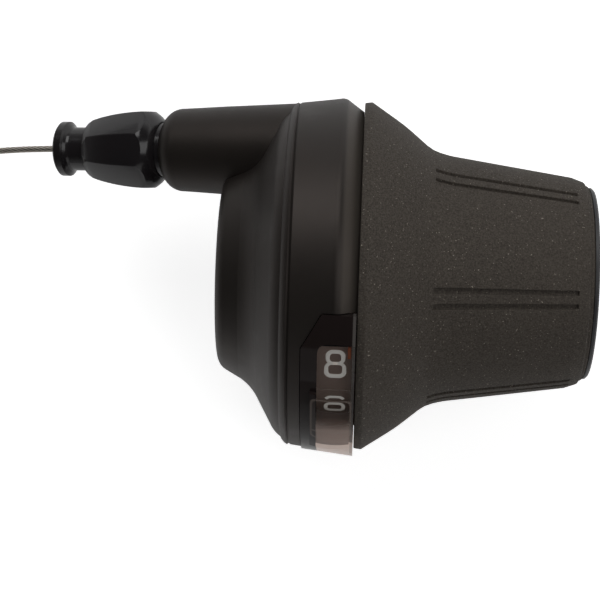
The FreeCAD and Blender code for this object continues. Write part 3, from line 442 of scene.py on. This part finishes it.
# ---- floor, backdrop and lamps

lightPlan = {
    "floorSize": 3.0,
    "floorGap": 0.0001,            # between the floor and the lowest piece
    "floorColor": (0.86, 0.86, 0.86),
    "floorLift": 0.72,             # brings the lit floor to white behind the object
    "glossShare": 0.2,             # part of that lift that shows in gloss
    # what gloss sees of the room: (low, high, strength at low, strength at high) of a direction
    "glossUp": (0.05, 0.55, 1.0, 0.05),
    "glossAcross": (-0.9, 0.35, 0.3, 1.0),
    "glossAhead": (-0.7, 0.3, 0.5, 0.85),
    "air": 0.17,                   # light from all round
    "aim": (0.012, 0, 0),          # where the lamps point
    # name: (place, size in metres, watts)
    "lamps": {
        "frontSoftbox": ((-0.10, 0.62, 0.62), (0.8, 0.5), 3.2),
        "riderSoftbox": ((0.15, -0.75, 0.45), (0.9, 0.4), 0.55),
        "outerSoftbox": ((0.50, 0.05, 0.62), (0.4, 0.8), 1.5),
    },
}


def whiteBehind(finish, shader, strength):
    # adds plain white for what the camera, gloss and glass see
    seen = finish.add("ShaderNodeLightPath", {}, {}, "Is Camera Ray")
    gloss = finish.add("ShaderNodeLightPath", {}, {}, "Is Glossy Ray")
    seen = seen.calc("MAXIMUM", gloss * lightPlan["glossShare"])
    seen = seen.calc("MAXIMUM", finish.add("ShaderNodeLightPath", {}, {}, "Is Transmission Ray"))
    lift = finish.add("ShaderNodeEmission", {}, {"Color": (1.0, 1.0, 1.0),
                                                 "Strength": seen * strength})
    return finish.add("ShaderNodeAddShader", {}, {0: shader, 1: lift})


def makeFloor():
    rest()
    bpy.ops.mesh.primitive_plane_add(size=lightPlan["floorSize"],
                                     location=(0, 0, floorHeight - lightPlan["floorGap"]))
    floor = bpy.context.object
    floor.name = "floor"
    finish = Finish("floorPaper", Roughness=1.0, Base_Color=lightPlan["floorColor"])
    finish.set(Specular_IOR_Level=0.0)
    surface = Wire(finish, finish.shader.outputs[0])
    both = whiteBehind(finish, surface, lightPlan["floorLift"])
    output = finish.tree.nodes["Material Output"]
    finish.tree.links.new(both.socket, output.inputs["Surface"])
    floor.data.materials.append(finish.material)


def makeWorld():
    world = bpy.data.worlds.new("studio")
    scene.world = world
    world.use_nodes = True
    tree = world.node_tree
    tree.nodes.clear()
    air = Finish.__new__(Finish)
    air.tree = tree
    place = air.add("ShaderNodeTexCoord", {}, {}, "Generated")
    across, ahead, up = air.parts(place)
    sides = across.ramp(*lightPlan["glossAcross"]) * ahead.ramp(*lightPlan["glossAhead"])
    seen = air.add("ShaderNodeLightPath", {}, {}, "Is Glossy Ray")
    seen = seen.calc("MAXIMUM", air.add("ShaderNodeLightPath", {}, {}, "Is Transmission Ray"))
    shown = up.ramp(*lightPlan["glossUp"]) * sides
    strength = seen * (shown - lightPlan["air"]) + lightPlan["air"]
    strength = strength.calc("MAXIMUM", air.add("ShaderNodeLightPath", {}, {}, "Is Camera Ray"))
    light = air.add("ShaderNodeBackground", {}, {"Color": (1.0, 1.0, 1.0), "Strength": strength})
    output = tree.nodes.new("ShaderNodeOutputWorld")
    tree.links.new(light.socket, output.inputs["Surface"])


def makeLamps():
    aim = Vector(lightPlan["aim"])
    for name, (spot, size, watts) in lightPlan["lamps"].items():
        data = bpy.data.lights.new(name, "AREA")
        data.shape = "RECTANGLE"
        data.size, data.size_y = size
        data.energy = watts
        lamp = bpy.data.objects.new(name, data)
        scene.collection.objects.link(lamp)
        way = aim - Vector(spot)
        turn = way.to_track_quat("-Z", "Y").to_matrix().to_4x4()
        lamp.matrix_world = Matrix.Translation(spot) @ turn


makeFloor()
makeWorld()
makeLamps()
scene.view_settings.view_transform = "Standard"
print("floor, backdrop and lamps made")


# ---- finishes of the plain CAD pieces

def mouldedPlastic(name, color, tint, rough, grain, depth):
    # fine spark-eroded texture, a slightly warmer tone in broad patches, rubbed here and there
    finish = Finish(name)
    fine = finish.noise(grain, 3.0, 0.6)
    broad = finish.noise(0.014, 2.0)
    rubbed = finish.noise(0.004, 4.0).ramp(0.55, 0.75)
    finish.set(
        Base_Color=finish.mix(broad.ramp(0.35, 0.7), color, tint),
        Roughness=(fine - 0.5) * 0.16 + rough - rubbed * 0.05,
        Normal=finish.bump(fine, depth))
    return finish


def drawnMetal(name, color, rough, size, stretch):
    # streaks left by rolling or turning, along the bar
    finish = Finish(name, Metallic=1.0)
    stretched = finish.add("ShaderNodeMapping", {}, {"Vector": finish.place,
                                                     "Scale": stretch})
    streaks = finish.noise(size, 3.0, 0.6, stretched)
    stain = finish.noise(0.003, 3.0)
    darker = tuple(c * 0.72 for c in color)
    finish.set(
        Base_Color=finish.mix(stain.ramp(0.35, 0.7), color, darker),
        Roughness=(streaks - 0.5) * 0.25 + rough,
        Normal=finish.bump(streaks, 0.00001))
    return finish


housingPlastic = mouldedPlastic("housingPlastic", (0.0092, 0.0080, 0.0072),
                                (0.0112, 0.0092, 0.0080), 0.46, 0.00009, 0.000012)
housingPlastic.set(Specular_IOR_Level=0.42, Specular_Tint=(1.0, 0.87, 0.80))
# the ring's outboard chamfer is painted paler: a painted highlight where more light falls on it
paintedChamferHighlight = housingPlastic.parts(housingPlastic.place)[0].ramp(0.0204, 0.0212)
toneLink = housingPlastic.shader.inputs["Base Color"].links[0]
housingTone = Wire(housingPlastic, toneLink.from_socket)
housingPlastic.set(Base_Color=housingPlastic.mix(paintedChamferHighlight, housingTone, (0.044, 0.038, 0.032)))
innerPlastic = mouldedPlastic("innerPlastic", (0.020, 0.020, 0.021),
                              (0.026, 0.025, 0.025), 0.38, 0.0002, 0.000008)
drumPlastic = mouldedPlastic("drumPlastic", (0.42, 0.30, 0.25),
                             (0.45, 0.325, 0.27), 0.55, 0.00012, 0.000008)
corePlastic = mouldedPlastic("corePlastic", (0.020, 0.020, 0.023),
                             (0.026, 0.026, 0.028), 0.42, 0.00015, 0.000006)
maskPlastic = mouldedPlastic("maskPlastic", (0.0045, 0.0045, 0.0055),
                             (0.0060, 0.0055, 0.0060), 0.22, 0.0003, 0.000003)
maskPlastic.set(Specular_IOR_Level=0.15)
adjusterPlastic = mouldedPlastic("adjusterPlastic", (0.0125, 0.0110, 0.0120),
                                 (0.0150, 0.0125, 0.0130), 0.17, 0.0004, 0.000003)
pointerPaint = mouldedPlastic("pointerPaint", (0.62, 0.13, 0.035),
                              (0.70, 0.17, 0.05), 0.45, 0.0002, 0.000004)
tieNylon = mouldedPlastic("tieNylon", (0.016, 0.016, 0.017),
                          (0.022, 0.022, 0.022), 0.42, 0.0002, 0.00001)
darkSteel = drawnMetal("darkSteel", (0.10, 0.10, 0.105), 0.36, 0.0004, (0.3, 1, 1))
zincSteel = drawnMetal("zincSteel", (0.52, 0.52, 0.50), 0.30, 0.0005, (0.4, 1, 1))
stainless = drawnMetal("stainless", (0.60, 0.59, 0.57), 0.27, 0.0004, (0.2, 1, 1))
turnedBrass = drawnMetal("turnedBrass", (0.60, 0.45, 0.20), 0.30, 0.0004, (2, 1, 1))
cappedAluminium = drawnMetal("cappedAluminium", (0.68, 0.68, 0.70), 0.32, 0.0004, (2, 1, 1))

coats = {
    "inboard_cover": housingPlastic, "housing_ring": housingPlastic,
    "bracket_tube": innerPlastic, "clamp_band": innerPlastic, "spool": innerPlastic,
    "detent_ring": innerPlastic, "wire_guide": innerPlastic, "adjuster_seat": adjusterPlastic,
    "adjuster_screw": adjusterPlastic, "adjuster_barrel": adjusterPlastic,
    "number_drum": drumPlastic, "grip_tube": corePlastic, "display_mask": maskPlastic,
    "gear_pointer": pointerPaint, "coil_tie": tieNylon, "clamp_bolt": darkSteel,
    "cover_screws": darkSteel, "lens_screw": darkSteel, "clamp_nut": zincSteel,
    "spring_pin": zincSteel, "detent_spring": stainless, "adjuster_spring": stainless,
    "thrust_washer": stainless, "retaining_clip": stainless, "inner_wire": wireSteel,
    "wire_on_spool": wireSteel, "wire_nipple": turnedBrass, "wire_end_cap": cappedAluminium,
}
for name, finish in coats.items():
    coat(name, finish)
print("CAD pieces finished:", len(coats))


# ---- rubber sleeve: flange, fillet, cone with six pairs of grooves, rounded end

sleevePlan = {
    # (along, radius, bend) in millimetres, outside first and then back along the bore
    "outline": [(23.45, 28.25), (23.45, 29.3, 0.2), (24.7, 29.45, 0.35), (30.4, 25.65, 30),
                (35.2, 21.65, 6), (38.2, 20.85, 12), (58.6, 17.85, 1.2), (60.7, 17.1, 0.4),
                (60.85, 16.55, 0.2), (61.3, 16.5, 0.25), (61.6, 15.9), (61.6, 15.05),
                (26.05, 15.05), (26.05, 28.25), (23.45, 28.25)],
    # columns of one sixth: (degrees, steps)
    "sixth": [(22.0, 6), (2.7, 2), (0.5, 1), (2.51, 3), (0.5, 1), (3.58, 2), (0.5, 1), (2.51, 3),
              (0.5, 1), (2.7, 2), (22.0, 6)],
    "pairTurn": -20.4,             # degrees, puts the first pair beside the top
    "groove": (35.4, 58.9),        # from and to, along the bar
    "rings": (42.0, 46.0, 50.0, 54.0),    # extra rings that keep the grooved faces short
    "nearest": 0.05,               # between an added ring and its neighbours
    "boreLimit": 16.0,             # no ring is added to the bore
    "grooveFloor": 16.6,           # faces nearer the axis than this aren't grooved
    "steepest": 0.75,              # share of a groove face's direction along the bar
    "pairSpread": 60.0,            # degrees from pair to pair
    "firstPair": 9.6,              # degrees round the bar from the top
    "depth": 0.55,                 # of a groove
    "halfPitch": 3.545,            # degrees from a pair's middle to a groove's middle
    "halfWidth": 1.3,
    "edge": 0.00012,               # width of the softened edges, in metres
}


def makeSleeve():
    plan = sleevePlan
    points = bendCorners(plan["outline"])
    low, high = plan["groove"]
    done = []
    for start, end in zip(points, points[1:]):
        done.append(start)
        if start[0] < end[0] and min(start[1], end[1]) > plan["boreLimit"]:
            for cut in (low, *plan["rings"], high):
                if start[0] + plan["nearest"] < cut < end[0] - plan["nearest"]:
                    share = (cut - start[0]) / (end[0] - start[0])
                    done.append((cut, start[1] + share * (end[1] - start[1])))
    done.append(points[-1])
    sleeve = drawLine("rubberSleeve", done)
    spinShut(sleeve, plan["sixth"] * 6)
    place(sleeve, Matrix.Rotation(math.radians(plan["pairTurn"]), 4, "X"))

    def inGroove(face):
        spot = face.calc_center_median() * 1000
        radius = math.hypot(spot.y, spot.z)
        if not (low < spot.x < high and radius > plan["grooveFloor"]
                and face.normal.x < plan["steepest"]):
            return False
        turn = math.degrees(math.atan2(-spot.y, spot.z)) - plan["firstPair"]
        half = plan["pairSpread"] / 2
        offset = abs((turn + half) % plan["pairSpread"] - half)
        return abs(offset - plan["halfPitch"]) < plan["halfWidth"]

    edit(sleeve)
    pick("faces", inGroove)
    bpy.ops.mesh.extrude_region_shrink_fatten(
        TRANSFORM_OT_shrink_fatten={"value": -plan["depth"] / 1000})
    rest()
    softenEdges(sleeve, plan["edge"], 50)
    smooth(sleeve, 40)
    dress(sleeve, sleeveRubber, "grip_rubber", "twist_grip", "grip_rubber")
    return sleeve


def makeRubber():
    finish = Finish("sleeveRubber")
    grain = finish.noise(0.00028, 3.0, 0.65)
    broad = finish.noise(0.016, 3.0)
    spark = finish.noise(0.00030, 1.0).ramp(0.70, 0.78)
    tone = finish.mix(broad.ramp(0.3, 0.7), (0.026, 0.0215, 0.0175), (0.032, 0.0265, 0.0215))
    speckled = finish.mix(grain.ramp(0.3, 0.7), tone, (0.066, 0.056, 0.046))
    finish.set(
        Base_Color=finish.mix(spark, speckled, (0.30, 0.265, 0.22)),
        Roughness=grain.ramp(0.3, 0.7, 0.78, 0.66),
        Normal=finish.bump(grain, 0.00008))
    finish.set(Specular_IOR_Level=0.4, Specular_Tint=(1.0, 0.93, 0.86))
    return finish


sleeveRubber = makeRubber()
makeSleeve()
print("rubber sleeve spun and grooved")


# ---- adjuster knob: eight flats cut from a turned body

knobPlan = {
    "portForward": 0.0206,
    "portHeight": -0.00018,
    "tilt": 15,
    "edgeTurn": -5,                # degrees
    "edge": 0.00018,               # width of the softened edges between flats, in metres
    "sides": 8,
    "roundSteps": 96,
    # corner radius of the flats along the port's axis
    "flats": [(10.5, 7.1), (14.5, 7.11), (15.6, 7.05), (16.6, 6.96), (17.7, 6.83), (18.8, 6.67),
              (19.9, 6.48), (20.9, 6.26), (22.0, 6.0), (23.1, 5.68), (24.2, 5.3), (26.0, 4.6)],
    # round body with its bore
    "body": [(11.5, 4.76), (11.5, 4.95, 0.15), (12.3, 5.95, 2), (13.4, 6.75, 3), (14.4, 7.2),
             (22.5, 7.2), (23.9, 5.25, 2), (24.7, 4.85, 1), (25.1, 4.35), (25.1, 3.84),
             (13.4, 3.84), (13.4, 5.05), (12.0, 5.05), (12.0, 4.76), (11.5, 4.76)],
}


def portPlace():
    plan = knobPlan
    return (Matrix.Translation((0, plan["portForward"], plan["portHeight"]))
            @ Matrix.Rotation(math.radians(180 - plan["tilt"]), 4, "Y"))


def makeKnob():
    plan = knobPlan
    first, last = plan["flats"][0], plan["flats"][-1]
    knob = drawLine("adjusterKnob", [(first[0], 0)] + plan["flats"] + [(last[0], 0)])
    spinShut(knob, [(360, plan["sides"])])
    rest()
    softenEdges(knob, plan["edge"], 30)
    turned = drawLine("turnedBody", bendCorners(plan["body"]))
    spinShut(turned, [(360, plan["roundSteps"])])
    rest()
    cut = knob.modifiers.new("round", "BOOLEAN")
    cut.operation = "INTERSECT"
    cut.solver = "EXACT"
    cut.object = turned
    bpy.context.view_layer.objects.active = knob
    bpy.ops.object.modifier_apply(modifier="round")
    bpy.data.objects.remove(turned)
    smooth(knob, 24)
    halfSide = 180 / plan["sides"]
    place(knob, portPlace() @ Matrix.Rotation(math.radians(halfSide + plan["edgeTurn"]), 4, "X"))
    dress(knob, adjusterPlastic, "adjuster_plastic", "adjuster_knob", "adjuster_barrel")


makeKnob()
print("adjuster knob made")


# ---- figures on the drum

figurePlan = {
    "middle": 20.2,                # along the bar, in millimetres
    "radius": 26.64,
    "rest": 32.7,                  # degrees round the bar of the figure that shows at rest
    "step": 14,
    "half": (1.43, 2.33),          # half width and height of a stroke's middle line
    "stroke": 0.37,
    "bends": (0.85, 0.75, 0.3),    # at a figure's outer corners, at a mark's and elsewhere
    "flatten": 0.3,                # height of the print as a share of its stroke's
    "marks": {"mark": 53.9, "bow": 47.8},    # degrees round the bar, under the magnifier
    "outerCorner": 0.8,            # corners whose squared distance from the upright middle
                                   # line is over this, in square millimetres, are outer ones
    "last": 8,                     # the figure that shows at rest, and the highest one
}
# middle lines on a grid from -1 to 1, and whether each closes on itself
strokes = {
    "1": [([(-0.5, 0.6), (0.1, 1), (0.1, -1)], False)],
    "2": [([(-1, 1), (1, 1), (1, 0), (-1, 0), (-1, -1), (1, -1)], False)],
    "3": [([(-1, 1), (1, 1), (1, -1), (-1, -1)], False), ([(-0.6, 0), (1, 0)], False)],
    "4": [([(0.6, -1), (0.6, 1), (-1, -0.4), (1, -0.4)], False)],
    "5": [([(1, 1), (-1, 1), (-1, 0.05), (1, 0.05), (1, -1), (-1, -1)], False)],
    "6": [([(0.9, 1), (-1, 1), (-1, -1), (1, -1), (1, 0.05), (-1, 0.05)], False)],
    "7": [([(-1, 1), (1, 1), (-0.2, -1)], False)],
    "8": [([(-0.86, 0.06), (-0.86, 1), (0.86, 1), (0.86, 0.06)], True),
          ([(-1, 0.06), (-1, -1), (1, -1), (1, 0.06)], True)],
    "mark": [([(-1, -0.39), (-1, 0.39), (1, 0.39), (1, -0.39)], True)],
    "bow": [([(-1, -0.26), (-0.6, -0.06), (0.6, -0.06), (1, -0.26)], False)],
}


def makeFigure(name, degrees):
    plan = figurePlan
    pieces = []
    printed, mark, inner = plan["bends"]
    outer = mark if name == "mark" else printed
    for line, closed in strokes[name]:
        spots = [(x * plan["half"][0], y * plan["half"][1]) for x, y in line]
        if closed:
            spots = spots[-1:] + spots + spots[:1]
        rounded = bendCorners([(x, y, outer if x * x > plan["outerCorner"] else inner)
                               for x, y in spots])
        if closed:
            rounded = rounded[1:-1]
        data = bpy.data.curves.new(name, "CURVE")
        data.dimensions = "3D"
        spline = data.splines.new("POLY")
        spline.points.add(len(rounded) - 1)
        for point, (x, y) in zip(spline.points, rounded):
            point.co = (x / 1000, y / 1000, 0, 1)
        spline.use_cyclic_u = closed
        data.bevel_depth = plan["stroke"] / 1000
        data.bevel_resolution = 2
        data.use_fill_caps = True
        curve = bpy.data.objects.new(name, data)
        scene.collection.objects.link(curve)
        pieces.append(curve)
    rest()
    for curve in pieces:
        curve.select_set(True)
    bpy.context.view_layer.objects.active = pieces[0]
    bpy.ops.object.convert(target="MESH")
    if len(pieces) > 1:
        bpy.ops.object.join()
    figure = bpy.context.object
    figure.name = "figure" + name.capitalize()
    turn = math.radians(degrees)
    middle = Vector((plan["middle"], -plan["radius"] * math.sin(turn),
                     plan["radius"] * math.cos(turn))) / 1000
    place(figure, Matrix.Translation(middle) @ Matrix.Rotation(turn, 4, "X")
          @ Matrix.Diagonal((1, 1, plan["flatten"], 1)))
    smooth(figure, 50)
    dress(figure, figurePaintAndGlow, None, "twist_grip")


figurePaintAndGlow = mouldedPlastic("figurePaintAndGlow", (0.86, 0.84, 0.80), (0.92, 0.90, 0.87), 0.5, 0.0002,
                             0.000003)
# the printed figures also glow faintly: painted light on top of their paint
figurePaintAndGlow.set(Emission_Color=(1.0, 0.96, 0.89), Emission_Strength=0.2)
for number in range(1, figurePlan["last"] + 1):
    makeFigure(str(number),
               figurePlan["rest"] - (figurePlan["last"] - number) * figurePlan["step"])
for name, degrees in figurePlan["marks"].items():
    makeFigure(name, degrees)
print("figures printed on the drum")


# ---- smoked window

smokePlan = {
    # in degrees round the bar and metres along it
    "magnifier": ((40.6, 59.6), (0.01645, 0.0229)),
    "clear": (21.9, 0.0173),       # upper and inboard edge of the see-through part
    "cornerBlend": 0.0030,
    "rim": 0.0228,                 # from here out the pane's edge is painted paler: a painted highlight
    "line": 55.4,
    "lineFade": (0.2, 0.7),        # degrees to either side where the line starts and stops fading
    "lowerBlock": 63.6,
    "blockFade": 0.3,
    "thickening": (46.5, 54.0),    # where the pane turns from clear to milky
    "degree": 0.000523,            # metres round the pane in one degree
    "tones": {
        "smoke": ((0.010, 0.008, 0.007), (0.015, 0.012, 0.011)),
        "milky": (0.24, 0.185, 0.16),
        # painted glare: pale colour and glow standing in for the white ground seen through the
        # pane edge-on
        "paintedBlockGlare": (0.50, 0.405, 0.36),
        "blockGlow": (0.16, 0.126, 0.110),
        "masked": (0.0145, 0.0105, 0.0100),
        "maskedMagnifier": (0.028, 0.022, 0.020),
        # colour of the painted highlight along the pane's outboard edge
        "rim": (0.10, 0.092, 0.086),
        # painted highlight on the magnifier's edge, also used for the fine line across it
        "edge": (0.24, 0.195, 0.17),
    },
}


def makeSmoke():
    plan, tones = smokePlan, smokePlan["tones"]
    finish = Finish("smokedLens", Roughness=0.08)
    haze = finish.noise(0.004, 3.0)
    along, forward, up = finish.parts(finish.place)
    turn = (-forward).calc("ARCTAN2", up) * math.degrees(1)
    low, high = plan["magnifier"][0]
    left, right = plan["magnifier"][1]
    top, side = plan["clear"]
    # how far a place lies outside the magnifier and outside the see-through part
    aside = (along - (left + right) / 2).calc("ABSOLUTE") - (right - left) / 2
    upright = ((turn - (low + high) / 2).calc("ABSOLUTE") - (high - low) / 2) * plan["degree"]
    outside = aside.calc("SMOOTH_MAX", upright, plan["cornerBlend"] / 2)
    masked = (side - along).calc("SMOOTH_MAX", (top - turn) * plan["degree"],
                                 plan["cornerBlend"]).ramp(-0.00004, 0.00004)
    # the magnifier, its edge with a painted highlight and the fine line across it in the same
    # pale tone, then the lowest stretch of the pane with painted glare, the milky stretch above
    # it and the pane's outboard edge with a painted highlight
    inside = outside.ramp(0.0, 0.00012, 1.0, 0.0)
    # painted highlight along the magnifier's edge
    edge = inside * outside.ramp(-0.0004, -0.0001)
    middle, (near, far) = plan["line"], plan["lineFade"]
    line = turn.ramp(middle - far, middle - near) * turn.ramp(
        middle + near, middle + far, 1.0, 0.0) * inside
    start, fade = plan["lowerBlock"], plan["blockFade"]
    # the lowest stretch of the pane: painted pale and opaque, as painted glare of the white
    # ground seen through it edge-on
    paintedBlockGlare = turn.ramp(start - fade, start + fade)
    milky = turn.ramp(*plan["thickening"])
    # painted highlight along the pane's outboard edge
    rim = along.ramp(plan["rim"] - 0.00005, plan["rim"] + 0.00008)
    shade = finish.mix(haze, *tones["smoke"])
    shade = finish.mix(milky, shade, tones["milky"])
    shade = finish.mix(paintedBlockGlare, shade, tones["paintedBlockGlare"])
    shade = finish.mix(masked, shade, tones["masked"])
    shade = finish.mix(masked * inside, shade, tones["maskedMagnifier"])
    shade = finish.mix(rim * 0.8, shade, tones["rim"])
    shade = finish.mix(line.calc("MAXIMUM", edge) * (masked * -0.5 + 0.8), shade, tones["edge"])
    # what share of the light each part stops
    solid = haze * 0.04 + 0.18
    for part, share in ((edge, 0.6), (line, 0.6), (rim, 0.7), (milky, 0.85), (paintedBlockGlare, 1.0),
                        (masked, 1.0)):
        solid = solid.calc("MAXIMUM", part * share)
    # that stretch also glows: painted light
    glow = finish.mix(paintedBlockGlare * (1.0 - masked), (0.0, 0.0, 0.0), tones["blockGlow"])
    finish.set(Base_Color=shade, Alpha=solid, Emission_Color=glow, Emission_Strength=1.0,
               Specular_IOR_Level=0.12)
    return finish


coat("display_lens", makeSmoke())
coat("grip_rubber", sleeveRubber)
coat("gear_wire", wireSteel)
coat("gear_wire_coil", wireSteel)
print("window finished")
